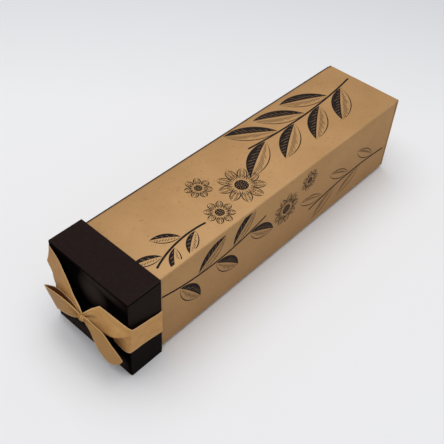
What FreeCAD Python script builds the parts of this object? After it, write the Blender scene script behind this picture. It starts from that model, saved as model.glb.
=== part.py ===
import FreeCAD, Part
import math
import os

from dataclasses import dataclass
from FreeCAD import Matrix, Vector

# A square bottle box of kraft board, lying on one side, with a black slip lid over its near end
# and a satin ribbon tied round the lid. Sizes are in millimetres.
# The origin is the middle of the lid's underside, on the surface that the box lies on.
# +Y runs along the box from the lid to the base, +X to the right of someone facing the bow.

# Carton
BOTTLE_SPACE = 78.0
CARTON_LENGTH = 345.5
CARTON_BOARD = 1.5
CARTON_CREASE = 1.8
SEAM_GAP = 0.3
SEAM_DROP = 0.5
GLUE_FLAP = 16.0
GLUE_FLAP_TAPER = 12.0
FLAP_INSET = 0.5
FLAP_ROOT = 9.0
DUST_FLAP = 34.0
INNER_FLAP = 66.0

# Lid
LID_DEPTH = 32.0
LID_BOARD = 1.0
LID_CREASE = 1.5
LID_TAB = 20.0
LID_SEAM = 0.4
SIDE_FIT = 1.5
TOP_FIT = 0.7
REST_FIT = 0.3
TAB_SETBACK = 1.5
SCORE_WIDTH = 0.5
SCORE_DEPTH = 0.3

# Ribbon
RIBBON_WIDTH = 25.0
RIBBON_THICKNESS = 0.4
RIBBON_FIT = 0.2
RIBBON_LIFT = 14.0
KNOT_HEIGHT = 8.0
KNOT_WIDTH = 6.0
KNOT_DEPTH = 6.0
KNOT_ROUND = 2.2
RIBBON_STEPS = 2
RIBBON_ACROSS = 4
RIM_STEPS = 4
INNER_BEND = 1.0
PLEATS = 1
PLEAT_SHARE = 0.03

# Print
INK = 0.06
INK_MARGIN = 3.0
STEM_WIDTH = 1.8
OUTLINE = 0.9
LEAF_GAP = 0.8
PETAL_SPREAD = 1.25

# Places that follow from the sizes
carton_side = BOTTLE_SPACE + 2 * CARTON_BOARD
lid_width = carton_side + 2 * (SIDE_FIT + LID_BOARD)
lid_height = carton_side + REST_FIT + TOP_FIT + 4 * LID_BOARD
lid_end = -LID_DEPTH / 2
lid_rim = LID_DEPTH / 2
carton_low = 2 * LID_BOARD + REST_FIT
carton_top = carton_low + carton_side
carton_mouth = lid_end + LID_BOARD + RIBBON_THICKNESS + 2 * RIBBON_FIT
carton_base = carton_mouth + CARTON_LENGTH
half_carton = carton_side / 2
half_lid = lid_width / 2


def rounded_wire(corners, place):
    """Closed wire through corners (a, b, radius), set in space by place(a, b)."""
    edges, joints = [], []
    count = len(corners)
    for index, (a, b, radius) in enumerate(corners):
        here = place(a, b)
        if radius <= 0:
            joints.append((here, here))
            continue
        before = place(*corners[index - 1][:2]) - here
        after = place(*corners[(index + 1) % count][:2]) - here
        before.normalize()
        after.normalize()
        half_angle = before.getAngle(after) / 2
        inward = (before + after).normalize()
        reach = radius / math.tan(half_angle)
        middle = here + inward * (radius / math.sin(half_angle) - radius)
        start, end = here + before * reach, here + after * reach
        edges.append(Part.Arc(start, middle, end).toShape())
        joints.append((start, end))
    for index in range(count):
        start, end = joints[index - 1][1], joints[index][0]
        edges.append(Part.LineSegment(start, end).toShape())
    return Part.Wire(Part.__sortEdges__(edges))


def prism_along_y(corners, start, end):
    """Solid with an X-Z outline, from y start to y end."""
    wire = rounded_wire(corners, lambda x, z: Vector(x, start, z))
    return Part.Face(wire).extrude(Vector(0, end - start, 0))


def prism_along_x(corners, start, end):
    """Solid with a Y-Z outline, from x start to x end."""
    wire = rounded_wire(corners, lambda y, z: Vector(start, y, z))
    return Part.Face(wire).extrude(Vector(end - start, 0, 0))


def prism_along_z(corners, start, end):
    """Solid with an X-Y outline, from z start to z end."""
    wire = rounded_wire(corners, lambda x, y: Vector(x, y, start))
    return Part.Face(wire).extrude(Vector(0, 0, end - start))


def block(low, high):
    """Plain box between two opposite corners."""
    size = [b - a for a, b in zip(low, high)]
    return Part.makeBox(*size, Vector(*low))


# Carton

def carton_outline():
    """Outer X-Z outline: three folds, and a lap seam at the top left long edge."""
    seam_x = -half_carton + CARTON_BOARD
    seam_floor = carton_top - CARTON_CREASE - SEAM_GAP
    return [
        (-half_carton, carton_low, CARTON_CREASE),
        (half_carton, carton_low, CARTON_CREASE),
        (half_carton, carton_top, CARTON_CREASE),
        (seam_x + SEAM_GAP, carton_top, CARTON_CREASE),
        (seam_x + SEAM_GAP, seam_floor, 0),
        (seam_x, seam_floor, 0),
        (seam_x, carton_top - SEAM_DROP, 0),
        (-half_carton, carton_top - SEAM_DROP, 0),
    ]


def side_panels():
    """The four panels, with the side panels' dust flaps folded in near the base."""
    end = carton_base - 2 * CARTON_BOARD
    plan = [
        (-half_carton, carton_mouth, 0),
        (half_carton, carton_mouth, 0),
        (half_carton, end, CARTON_CREASE),
        (-half_carton, end, CARTON_CREASE),
    ]
    body = prism_along_y(carton_outline(), carton_mouth, end)
    body = body.common(prism_along_z(plan, carton_low, carton_top))
    inner = half_carton - CARTON_BOARD
    slot = half_carton - DUST_FLAP
    low, high = carton_low + CARTON_BOARD, carton_top - CARTON_BOARD
    cavity = block((-inner, carton_mouth, low), (inner, end - CARTON_BOARD, high))
    between_flaps = block((-slot, end - CARTON_BOARD, low), (slot, end, high))
    return body.cut([cavity, between_flaps])


def glue_flap():
    """Flap folded down from the top panel and glued inside the left panel."""
    start = carton_mouth + FLAP_INSET
    end = carton_base - 3 * CARTON_BOARD - FLAP_INSET
    high = carton_top - CARTON_BOARD / 2
    low = carton_top - GLUE_FLAP
    outline = [
        (start, high, 0),
        (end, high, 0),
        (end - GLUE_FLAP_TAPER, low, 0),
        (start + GLUE_FLAP_TAPER, low, 0),
    ]
    left = -half_carton + CARTON_BOARD / 2
    return prism_along_x(outline, left, -half_carton + 2 * CARTON_BOARD + SEAM_GAP)


def base_flap(fold, free, outer_y, inset):
    """L-shaped flap that folds from the panel at height fold across the base to height free."""
    inward = math.copysign(CARTON_BOARD, free - fold)
    outline = [
        (outer_y - FLAP_ROOT, fold, 0),
        (outer_y, fold, CARTON_CREASE),
        (outer_y, free, 0),
        (outer_y - CARTON_BOARD, free, 0),
        (outer_y - CARTON_BOARD, fold + inward, 0),
        (outer_y - FLAP_ROOT, fold + inward, 0),
    ]
    flap = prism_along_x(outline, -half_carton + inset, half_carton - inset)
    return flap.common(prism_along_y(carton_outline(), carton_mouth, carton_base))


def make_carton():
    """One folded and glued blank, open at the lid and closed by nested flaps at the base."""
    outer = base_flap(carton_top, carton_low + FLAP_INSET, carton_base, FLAP_INSET)
    inner_free = carton_low + INNER_FLAP
    inner = base_flap(carton_low, inner_free, carton_base - CARTON_BOARD, 2 * FLAP_INSET)
    return side_panels().fuse([glue_flap(), outer, inner]).removeSplitter()


# Lid

def lid_plan():
    """X-Y outline of the lid, with its two near corners folded."""
    return [
        (-half_lid, lid_rim, 0),
        (-half_lid, lid_end, LID_CREASE),
        (half_lid, lid_end, LID_CREASE),
        (half_lid, lid_rim, 0),
    ]


def lid_side_strip():
    """Left wall, end panel and right wall as one bent strip, with grooves beside the tabs."""
    low, high = LID_BOARD, lid_height - LID_BOARD
    section = [
        (-half_lid, low, LID_CREASE),
        (half_lid, low, LID_CREASE),
        (half_lid, high, LID_CREASE),
        (-half_lid, high, LID_CREASE),
    ]
    strip = prism_along_y(section, lid_end, lid_rim)
    strip = strip.common(prism_along_z(lid_plan(), low, high))
    inner = half_lid - LID_BOARD
    cavity = block((-inner, lid_end + LID_BOARD, low), (inner, lid_rim, high))
    return strip.cut([cavity] + lid_grooves(low, high))


def lid_grooves(low, high):
    """Open seams along the long edges, where the side walls turn in under the other walls."""
    reach = LID_CREASE + LID_SEAM
    grooves = []
    for x in (-half_lid, half_lid - reach):
        for z in (low, high - LID_SEAM):
            grooves.append(block((x, lid_end, z), (x + reach, lid_rim, z + LID_SEAM)))
    return grooves


def lid_tabs():
    """Corner tabs of the side walls, glued inside the top and bottom walls."""
    tabs = []
    near, far = lid_end + LID_BOARD / 2, lid_rim - TAB_SETBACK
    inner = half_lid - LID_BOARD / 2
    seam = LID_CREASE + LID_SEAM
    for z in (LID_BOARD, lid_height - 2 * LID_BOARD):
        for side in (-1, 1):
            x_far, x_near = side * inner, side * (half_lid - LID_TAB)
            x_seam = side * (half_lid - seam)
            flat = block((min(x_seam, x_near), near, z), (max(x_seam, x_near), far, z + LID_BOARD))
            turn_z = z + LID_SEAM if z < lid_height / 2 else z
            turn = block(
                (min(x_far, x_seam), near, turn_z),
                (max(x_far, x_seam), far, turn_z + LID_BOARD - LID_SEAM),
            )
            tabs += [flat, turn]
    return tabs


def lid_face_wall(face, inward):
    """Wall at height face that folds down the end panel, with raw edges left and right."""
    inside = face + inward * LID_BOARD
    leg = lid_height / 2
    outline = [
        (lid_rim, face, 0),
        (lid_end, face, LID_CREASE),
        (lid_end, leg, 0),
        (lid_end + LID_BOARD, leg, 0),
        (lid_end + LID_BOARD, inside, 0),
        (lid_rim, inside, 0),
    ]
    wall = prism_along_x(outline, -half_lid, half_lid)
    return wall.common(prism_along_z(lid_plan(), 0, lid_height))


def score_line():
    """Pressed line along the top of the end panel, just below its fold."""
    z = lid_height - LID_BOARD - LID_SEAM
    return block(
        (-half_lid, lid_end, z - SCORE_WIDTH),
        (half_lid, lid_end + SCORE_DEPTH, z),
    )


def make_lid():
    """One folded and glued blank: end panel, four walls and four tabs."""
    top = lid_face_wall(lid_height, -1)
    bottom = lid_face_wall(0, 1)
    grooves = lid_grooves(LID_BOARD, lid_height - LID_BOARD)
    walls = top.fuse(bottom).cut(grooves)
    lid = lid_side_strip().fuse([walls] + lid_tabs())
    return lid.cut(score_line()).removeSplitter()


# Ribbon
# A station is (place of the middle line, direction of the width, share of the width spread).
# A place is (share of the lid's half width, stand-off from the end panel, share of the height).
# A stand-off below 0 is beside the lid: the ribbon lifts off the right wall over RIBBON_LIFT.

KNOT = (0.05, 9.6, 0.538)

BAND_HEIGHTS = [(0.0, 0.492), (0.1, 0.453), (0.27, 0.46), (0.71, 0.66), (0.86, 0.73), (1.0, 0.825)]

RIGHT_STRAND = [
    ((0.05, 9.6, 0.545), (-0.1, 0.1, 1.0), 0.17),
    ((0.12, 9.4, 0.563), (-0.14, 0.1, 1.0), 0.30),
    ((0.22, 7.6, 0.581), (-0.16, 0.23, 1.0), 0.59),
    ((0.364, 4.7, 0.595), (-0.23, 0.35, 1.0), 0.83),
    ((0.55, 3.7, 0.594), (-0.14, 0.3, 1.0), 0.83),
    ((0.73, 2.6, 0.572), (0.04, 0.12, 1.0), 0.99),
    ((0.93, 1.9, 0.555), (0.04, 0.08, 1.0), 1.08),
    ((1.04, 0.6, 0.55), (0.06, 0.02, 1.0), 1.10),
    ((1.045, -3.0, 0.54), (0.07, 0.0, 1.0), 1.07),
    ((1.03, -9.0, 0.515), (0.05, 0.0, 1.0), 1.03),
]

LEFT_STRAND = [
    ((-1.035, 0.7, 0.84), (0.14, 0.0, 1.0), 0.94),
    ((-0.92, 1.4, 0.815), (0.38, 0.03, 0.93), 0.87),
    ((-0.80, 2.2, 0.77), (0.47, 0.04, 0.88), 0.89),
    ((-0.70, 3.2, 0.694), (0.55, 0.02, 0.83), 0.98),
    ((-0.565, 4.4, 0.63), (0.60, 0.03, 0.80), 0.92),
    ((-0.363, 5.9, 0.576), (0.65, 0.0, 0.76), 0.62),
    ((-0.142, 7.3, 0.553), (0.52, 0.0, 0.86), 0.35),
    ((0.03, 8.2, 0.543), (0.50, 0.0, 0.86), 0.21),
]

LOOP = [
    ((0.03, 9.2, 0.53), (0.1, 0.0, 1.0), 0.17),
    ((-0.07, 8.9, 0.506), (0.14, 0.0, 1.0), 0.31),
    ((-0.20, 8.1, 0.487), (0.1, 0.0, 1.0), 0.63),
    ((-0.41, 7.1, 0.453), (0.09, 0.0, 1.0), 0.86),
    ((-0.63, 6.2, 0.42), (-0.03, 0.0, 1.0), 1.02),
    ((-0.80, 5.9, 0.38), (-0.16, 0.0, 1.0), 0.98),
    ((-0.91, 6.3, 0.352), (-0.5, 0.0, 0.87), 0.89),
    ((-0.925, 7.5, 0.358), (-0.57, 0.0, 0.82), 0.90),
    ((-0.87, 8.5, 0.38), (-0.6, 0.0, 0.8), 0.85),
    ((-0.75, 9.3, 0.405), (-0.53, 0.0, 0.85), 0.81),
    ((-0.58, 10.1, 0.442), (-0.43, 0.0, 0.9), 0.78),
    ((-0.353, 10.6, 0.476), (-0.19, 0.0, 0.98), 0.68),
    ((-0.15, 10.8, 0.508), (-0.07, 0.0, 1.0), 0.47),
    ((0.03, 10.8, 0.53), (0.1, 0.0, 1.0), 0.21),
]

TAIL = [
    ((0.06, 10.2, 0.535), (0.3, 0.0, 0.95), 0.12),
    ((0.153, 10.2, 0.527), (0.3, 0.0, 0.95), 0.32),
    ((0.293, 10.4, 0.50), (0.47, 0.0, 0.88), 0.54),
    ((0.46, 10.4, 0.448), (0.52, 0.0, 0.85), 0.93),
    ((0.62, 9.9, 0.348), (0.59, 0.0, 0.81), 1.10),
    ((0.75, 9.2, 0.28), (0.65, 0.0, 0.76), 1.10),
    ((0.86, 8.5, 0.226), (0.66, 0.0, 0.75), 1.07),
]


def on_lid(place):
    """Point in front of the lid's end panel."""
    share_x, stand_off, share_z = place
    return Vector(share_x * half_lid, lid_end - stand_off, share_z * lid_height)


def free_strand(stations):
    """Middle line and width vectors of a strand in front of the lid, in smooth steps."""
    middles = [on_lid(place) for place, _, _ in stations]
    widths = []
    for _, direction, spread in stations:
        width = Vector(*direction)
        width.normalize()
        widths.append(width * RIBBON_WIDTH * spread)
    return list(zip(smooth(middles), smooth(widths)))


def smooth(points):
    """Points on a curve through the given ones, RIBBON_STEPS to a span."""
    ends = [points[0] * 2 - points[1]] + points + [points[-1] * 2 - points[-2]]
    found = []
    for before, start, end, after in zip(ends, ends[1:], ends[2:], ends[3:]):
        for step in range(RIBBON_STEPS):
            t = step / RIBBON_STEPS
            pull = (end - before) * (t - 2 * t**2 + t**3) + (after - start) * (t**3 - t**2)
            ease = 3 * t**2 - 2 * t**3
            found.append(start * (1 - ease) + end * ease + pull / 2)
    return found + [points[-1]]


def band_round_lid():
    """Middle line and width vectors from the right corner, round the rims and inside the lid."""
    out = RIBBON_FIT + RIBBON_THICKNESS / 2
    outside = half_lid + out
    inside = half_lid - LID_BOARD - out
    back = lid_end + LID_BOARD + out
    turn = (outside - inside) / 2
    right = [(outside, lid_end + RIBBON_LIFT)]
    for step in range(RIM_STEPS + 1):
        angle = math.pi * step / RIM_STEPS
        right.append((half_lid - LID_BOARD / 2 + turn * math.cos(angle), lid_rim + turn * math.sin(angle)))
    right.append((inside, back + INNER_BEND))
    right.append((inside - INNER_BEND, back))
    left = [(-x, y) for x, y in reversed(right[1:])] + [(-outside, lid_end + LID_CREASE)]
    path = [Vector(x, y, 0) for x, y in right + left]
    lengths = [0.0]
    for a, b in zip(path, path[1:]):
        lengths.append(lengths[-1] + (b - a).Length)
    for point, length in zip(path, lengths):
        point.z = lid_height * band_height(length / lengths[-1])
    return [(point, Vector(0, 0, RIBBON_WIDTH)) for point in path]


def band_height(share):
    """Share of the lid's height that the band's middle has, a share of the way round."""
    for (start, low), (end, high) in zip(BAND_HEIGHTS, BAND_HEIGHTS[1:]):
        if share <= end:
            return low + (high - low) * (share - start) / (end - start)
    return BAND_HEIGHTS[-1][1]


def cross_points(middle, width, along, height):
    """Points across the ribbon at one station, with pleats of the given height."""
    normal = width.cross(along)
    normal.normalize()
    points = []
    for index in range(RIBBON_ACROSS + 1):
        share = index / RIBBON_ACROSS - 0.5
        pleat = height * math.cos(2 * math.pi * PLEATS * share)
        points.append(middle + width * share + normal * pleat)
    return points


def strip_solid(stations):
    """Closed solid of a thin strip through the stations."""
    count = len(stations)
    rows = []
    for index, (middle, width) in enumerate(stations):
        along = stations[min(index + 1, count - 1)][0] - stations[max(index - 1, 0)][0]
        lost = max(RIBBON_WIDTH - width.Length, 0)
        points = cross_points(middle, width, along, PLEAT_SHARE * lost)
        rows.append(thick_section(points, along))
    triangles = []
    for first, second in zip(rows, rows[1:]):
        for index in range(len(first)):
            after = (index + 1) % len(first)
            quad = (first[index], first[after], second[after], second[index])
            triangles += [(quad[0], quad[1], quad[2]), (quad[0], quad[2], quad[3])]
    for row, turn in ((rows[0], 1), (rows[-1], -1)):
        half = len(row) // 2
        for index in range(half - 1):
            quad = [row[index], row[index + 1], row[-index - 2], row[-index - 1]][::turn]
            triangles += [(quad[0], quad[1], quad[2]), (quad[0], quad[2], quad[3])]
    faces = [Part.Face(Part.makePolygon([a, b, c, a])) for a, b, c in triangles]
    shell = Part.makeShell(faces)
    shell.sewShape()
    solid = Part.makeSolid(shell)
    if solid.Volume < 0:
        solid.reverse()
    return solid


def thick_section(points, along):
    """Closed row of points round a thin section that follows the points."""
    last = len(points) - 1
    outer, inner = [], []
    for index, point in enumerate(points):
        across = points[min(index + 1, last)] - points[max(index - 1, 0)]
        normal = across.cross(along)
        normal.normalize()
        outer.append(point + normal * RIBBON_THICKNESS / 2)
        inner.append(point - normal * RIBBON_THICKNESS / 2)
    return outer + inner[::-1]


def make_knot():
    """Rounded wrap of ribbon over the place where the strands cross."""
    size = Vector(KNOT_WIDTH, KNOT_DEPTH, KNOT_HEIGHT)
    knot = Part.makeBox(*size, on_lid(KNOT) - size / 2)
    return knot.makeFillet(KNOT_ROUND, knot.Edges)


def make_ribbon():
    """The whole ribbon: one strip round the lid, a knot, a loop and a tail."""
    around = free_strand(RIGHT_STRAND) + band_round_lid() + free_strand(LEFT_STRAND)
    strips = [strip_solid(around), strip_solid(free_strand(LOOP)), strip_solid(free_strand(TAIL))]
    return make_knot().fuse(strips)


# Print
# A place on a face is (distance along the box, distance across the face), and an angle is
# measured from the direction of the base.

@dataclass
class Sprig:
    """A curved stem with leaves on alternate sides."""

    start: tuple
    heading: float
    bend: float
    step: float
    leaves: int
    leaf: float
    leaf_width: float
    leaf_angle: float
    dark: bool

    def length(self):
        """Length of the whole stem."""
        return self.step * (self.leaves + 1)

    def angle(self, distance):
        """Direction of the stem, in radians, at a distance along it."""
        return math.radians(self.heading + self.bend * distance / self.length())

    def point(self, distance, aside):
        """Place beside the stem at a distance along it."""
        radius = self.length() / math.radians(self.bend)
        here, first = self.angle(distance), self.angle(0)
        along = self.start[0] + radius * (math.sin(here) - math.sin(first))
        across = self.start[1] - radius * (math.cos(here) - math.cos(first))
        return along - aside * math.sin(here), across + aside * math.cos(here)


@dataclass
class Flower:
    """A ring of outlined petals round a dark disc."""

    centre: tuple
    radius: float
    petals: int
    disc: float


TOP_PRINT = [
    Sprig((324, -14), 171, 16, 19, 7, 50, 19, 31, True),
    Sprig((82, 24), 190, -34, 12, 4, 24, 10, 38, True),
    Flower((134, 15), 21, 9, 6),
    Flower((98, 24), 13, 8, 4),
    Flower((106, -7), 12, 7, 3.5),
]

RIGHT_PRINT = [
    Sprig((19, 62), -16, 34, 20, 5, 36, 16, 40, True),
    Sprig((322, 30), 172, 20, 20, 5, 38, 11, 28, False),
    Flower((166, 52), 17, 9, 5),
    Flower((196, 66), 11, 7, 3.5),
]


def ink_face(edges):
    """Flat patch of ink from edges given as lists of two or three places."""
    shapes = []
    for edge in edges:
        points = [Vector(*place, 0) for place in edge]
        curve = Part.Arc(*points) if len(points) == 3 else Part.LineSegment(*points)
        shapes.append(curve.toShape())
    return Part.Face(Part.Wire(Part.__sortEdges__(shapes)))


def leaf_ink(base, direction, length, width, dark):
    """One leaf or petal: a filled or outlined half and an outlined half beside its midrib."""
    along, across = math.cos(direction), math.sin(direction)
    tip = (base[0] + length * along, base[1] + length * across)
    middle = ((base[0] + tip[0]) / 2, (base[1] + tip[1]) / 2)
    arcs = []
    half = width / 2
    for reach in (half, OUTLINE if dark else half - OUTLINE, -half, OUTLINE - half):
        arcs.append([base, (middle[0] - reach * across, middle[1] + reach * along), tip])
    return [ink_face(arcs[:2]), ink_face(arcs[2:])]


def sprig_ink(sprig):
    """The stem as a thin band along its arc, and its leaves."""
    end, half = sprig.length(), STEM_WIDTH / 2
    sides = [[sprig.point(share * end, aside) for share in (0, 0.5, 1)] for aside in (half, -half)]
    ends = [[sides[0][0], sides[1][0]], [sides[0][2], sides[1][2]]]
    ink = [ink_face(sides + ends)]
    for index in range(sprig.leaves):
        side = 1 if index % 2 else -1
        distance = sprig.step * (index + 1)
        direction = sprig.angle(distance) + side * math.radians(sprig.leaf_angle)
        base = sprig.point(distance, side * (half + LEAF_GAP))
        ink += leaf_ink(base, direction, sprig.leaf, sprig.leaf_width, sprig.dark)
    return ink


def flower_ink(flower):
    """The disc in the middle, and the petals round it."""
    ink = [Part.Face(Part.Wire(Part.makeCircle(flower.disc, Vector(*flower.centre, 0))))]
    base = flower.disc + LEAF_GAP
    length = flower.radius - base
    for index in range(flower.petals):
        angle = 2 * math.pi * index / flower.petals
        along, across = math.cos(angle), math.sin(angle)
        start = (flower.centre[0] + base * along, flower.centre[1] + base * across)
        width = PETAL_SPREAD * flower.radius * math.sin(math.pi / flower.petals)
        ink += leaf_ink(start, angle, length, width, False)
    return ink


def make_print(motifs, low, high, place):
    """Ink on one face of the carton, within the flat part from low to high across the face."""
    sheet = block((lid_rim, low, 0), (carton_base - INK_MARGIN, high, INK))
    ink = []
    for motif in motifs:
        patches = sprig_ink(motif) if isinstance(motif, Sprig) else flower_ink(motif)
        ink += [patch.extrude(Vector(0, 0, INK)).common(sheet) for patch in patches]
    return ink[0].fuse(ink[1:]).removeSplitter().transformed(place)


def make_print_top():
    """Ink on the top face of the carton."""
    edge = half_carton - INK_MARGIN
    place = Matrix(0, 1, 0, 0, 1, 0, 0, 0, 0, 0, 1, carton_top)
    return make_print(TOP_PRINT, -edge, edge, place)


def make_print_right():
    """Ink on the right face of the carton."""
    place = Matrix(0, 0, 1, half_carton, 1, 0, 0, 0, 0, 1, 0, 0)
    return make_print(RIGHT_PRINT, carton_low + INK_MARGIN, carton_top - INK_MARGIN, place)


PARTS = {
    "carton": make_carton,
    "lid": make_lid,
    "ribbon": make_ribbon,
    "print_top": make_print_top,
    "print_right": make_print_right,
}

os.makedirs("parts", exist_ok=True)
for node, make in PARTS.items():
    shape = make()
    print(node, len(shape.Solids), shape.isValid(), round(shape.Volume), shape.BoundBox)
    shape.exportStep(f"parts/{node}.step")
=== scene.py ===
"""Looks of a square bottle carton with a black slip lid, a satin ribbon bow and a leaf print.

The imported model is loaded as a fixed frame. The carton and the lid keep their own solids and get
board and card finishes, the ribbon is tied from smooth strips of satin, and the print gets the
fine strokes of an engraving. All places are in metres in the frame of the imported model, and
sizes given in millimetres say so in their names.
"""

from __future__ import annotations

import logging
import math
import random
from dataclasses import dataclass, field
from enum import Enum

import bpy
from bpy.types import ID, Material, Node, NodeSocket, NodeTree, Object
from mathutils import Matrix, Vector

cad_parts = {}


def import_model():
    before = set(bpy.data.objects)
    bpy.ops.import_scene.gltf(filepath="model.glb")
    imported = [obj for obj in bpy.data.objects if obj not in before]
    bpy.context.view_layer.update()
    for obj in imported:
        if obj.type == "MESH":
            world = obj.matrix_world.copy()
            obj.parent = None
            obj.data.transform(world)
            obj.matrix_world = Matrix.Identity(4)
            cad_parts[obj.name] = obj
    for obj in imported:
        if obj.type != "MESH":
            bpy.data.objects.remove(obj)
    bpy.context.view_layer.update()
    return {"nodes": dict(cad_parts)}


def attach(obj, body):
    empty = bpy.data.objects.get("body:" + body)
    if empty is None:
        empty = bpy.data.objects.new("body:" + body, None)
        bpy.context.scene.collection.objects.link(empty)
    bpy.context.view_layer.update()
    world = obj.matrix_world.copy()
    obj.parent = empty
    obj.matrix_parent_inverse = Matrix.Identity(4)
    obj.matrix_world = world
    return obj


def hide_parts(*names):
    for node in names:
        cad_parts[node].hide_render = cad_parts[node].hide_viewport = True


logging.basicConfig(level=logging.INFO, format="%(name)s: %(message)s")
LOG = logging.getLogger("bottle_box")

Pair = tuple[float, float]
Triple = tuple[float, float, float]
Rows = list[list[Vector]]

MM = 0.001
LID_END_MM = -16.0
LID_RIM_MM = 16.0
HALF_LID_MM = 43.0
LID_HEIGHT_MM = 86.0
LID_BOARD_MM = 1.0
CARTON_TOP_MM = 83.3
CARTON_LOW_MM = 2.3
CARTON_MOUTH_MM = -14.2
HALF_CARTON_MM = 40.5
CARTON_BOARD_MM = 1.5
PRINT_END_MM = 328
KNOT_X_MM, KNOT_OFF_MM, KNOT_Z_MM = 3.1, 10.3, 46.4
FACING = 0.7
GOLDEN_ANGLE = 2.399963
MIX_INPUTS, MIX_OUTPUT = (0, 6, 7), 2


class Body(Enum):
    """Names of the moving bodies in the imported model."""

    CARTON = "body"
    LID = "slip_lid"


class Slot(Enum):
    """Names of the record's material slots."""

    BOARD = "kraft_board"
    RIBBON = "satin_ribbon"
    INK = "black_ink"


class Value:
    """A number that a tree of nodes works out, with the usual signs of arithmetic."""

    def __init__(self, bench: NodeBench, socket: NodeSocket) -> None:
        """Wrap one output of a node."""
        self.bench = bench
        self.socket = socket

    def __add__(self, other: Value | float) -> Value:
        """Add another number."""
        return self.bench.math("ADD", self, other)

    def __sub__(self, other: Value | float) -> Value:
        """Take another number away."""
        return self.bench.math("SUBTRACT", self, other)

    def __rsub__(self, other: float) -> Value:
        """Take this number away from a plain one."""
        return self.bench.math("SUBTRACT", other, self)

    def __mul__(self, other: Value | float) -> Value:
        """Multiply by another number."""
        return self.bench.math("MULTIPLY", self, other)

    def __truediv__(self, other: Value | float) -> Value:
        """Divide by another number."""
        return self.bench.math("DIVIDE", self, other)

    def __pow__(self, other: float) -> Value:
        """Raise to a power."""
        return self.bench.math("POWER", self, other)

    def __gt__(self, other: float) -> Value:
        """Give 1 where this number is greater, else 0."""
        return self.bench.math("GREATER_THAN", self, other)

    def __lt__(self, other: float) -> Value:
        """Give 1 where this number is less, else 0."""
        return self.bench.math("LESS_THAN", self, other)

    def __abs__(self) -> Value:
        """Drop the sign."""
        return self.bench.math("ABSOLUTE", self)

    def larger(self, other: Value) -> Value:
        """Give the larger of two numbers."""
        return self.bench.math("MAXIMUM", self, other)

    def smaller(self, other: Value) -> Value:
        """Give the smaller of two numbers."""
        return self.bench.math("MINIMUM", self, other)

    def sine(self) -> Value:
        """Give the sine of an angle."""
        return self.bench.math("SINE", self)

    def ramp(self, low: float, high: float) -> Value:
        """Stretch the part between low and high to the range from 0 to 1.

        Args:
            low: Number that gives 0.
            high: Number that gives 1.

        Returns:
            The stretched number, held between 0 and 1.
        """
        node = self.bench.add("ShaderNodeMapRange", {"clamp": True}, Value=self)
        node.inputs["From Min"].default_value = low
        node.inputs["From Max"].default_value = high
        return Value(self.bench, node.outputs["Result"])

    def ramp_mm(self, low: float, high: float) -> Value:
        """Stretch the part between two distances in millimetres to the range from 0 to 1."""
        return self.ramp(low * MM, high * MM)


class NodeBench:
    """Short ways to add and join the nodes of one tree."""

    def __init__(self, tree: NodeTree) -> None:
        """Take the tree that the nodes go into."""
        self.tree = tree

    def add(self, kind: str, settings: dict | None = None, **inputs: object) -> Node:
        """Add a node, set its properties and feed its inputs.

        Args:
            kind: Blender's type name of the node.
            settings: Properties to set on the node itself.
            inputs: Input names, with spaces as underscores, and what each is fed with.

        Returns:
            The new node.
        """
        node = self.tree.nodes.new(kind)
        for name, value in (settings or {}).items():
            setattr(node, name, value)
        for name, value in inputs.items():
            self.feed(node.inputs[name.replace("_", " ")], value)
        return node

    def feed(self, socket: NodeSocket, value: object) -> None:
        """Join a value or a socket to an input, or set the input's own value.

        Args:
            socket: The input.
            value: A value, a socket, or a plain number, vector or colour.
        """
        if isinstance(value, Value):
            value = value.socket
        if isinstance(value, NodeSocket):
            self.tree.links.new(value, socket)
        else:
            socket.default_value = value

    def math(self, operation: str, first: object, second: object = 0.0,
             kind: str = "ShaderNodeMath") -> Value:
        """Add a Math or Vector Math node.

        Args:
            operation: Blender's name of the operation.
            first: What its first input is fed with.
            second: What its second input is fed with.
            kind: Blender's type name of the node.

        Returns:
            The number that the node works out.
        """
        node = self.add(kind, {"operation": operation})
        self.feed(node.inputs[0], first)
        self.feed(node.inputs[1], second)
        return Value(self, node.outputs["Value"])

    def mix(self, share: Value, first: object, second: object) -> NodeSocket:
        """Mix a share of the second colour into the first.

        Args:
            share: How much of the second colour, from 0 to 1.
            first: Colour at 0.
            second: Colour at 1.

        Returns:
            The mixed colour.
        """
        node = self.add("ShaderNodeMix", {"data_type": "RGBA"})
        for index, value in zip(MIX_INPUTS, (share, first, second)):
            self.feed(node.inputs[index], value)
        return node.outputs[MIX_OUTPUT]

    def parts(self, vector: NodeSocket) -> list[Value]:
        """Split a vector into its three numbers."""
        node = self.add("ShaderNodeSeparateXYZ", Vector=vector)
        return [Value(self, socket) for socket in node.outputs]

    def noise(self, place: object, scale: float, detail: float, rough: float = 0.5) -> Value:
        """Add a noise texture.

        Args:
            place: Where the texture is read.
            scale: How fine it is.
            detail: Number of finer layers on it.
            rough: How strong the finer layers are.

        Returns:
            The strength of the noise, from 0 to 1.
        """
        node = self.add("ShaderNodeTexNoise", Vector=place, Scale=scale, Detail=detail,
                        Roughness=rough)
        return Value(self, node.outputs["Fac"])

    def stretch(self, place: object, scale: tuple) -> NodeSocket:
        """Scale a place by a different amount along each axis."""
        return self.add("ShaderNodeMapping", Vector=place, Scale=scale).outputs["Vector"]


@dataclass(frozen=True)
class Spot:
    """Place of the point that is shaded, and the direction that the surface faces there."""

    x: Value
    y: Value
    z: Value
    facing_x: Value
    facing_y: Value
    facing_z: Value


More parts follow.
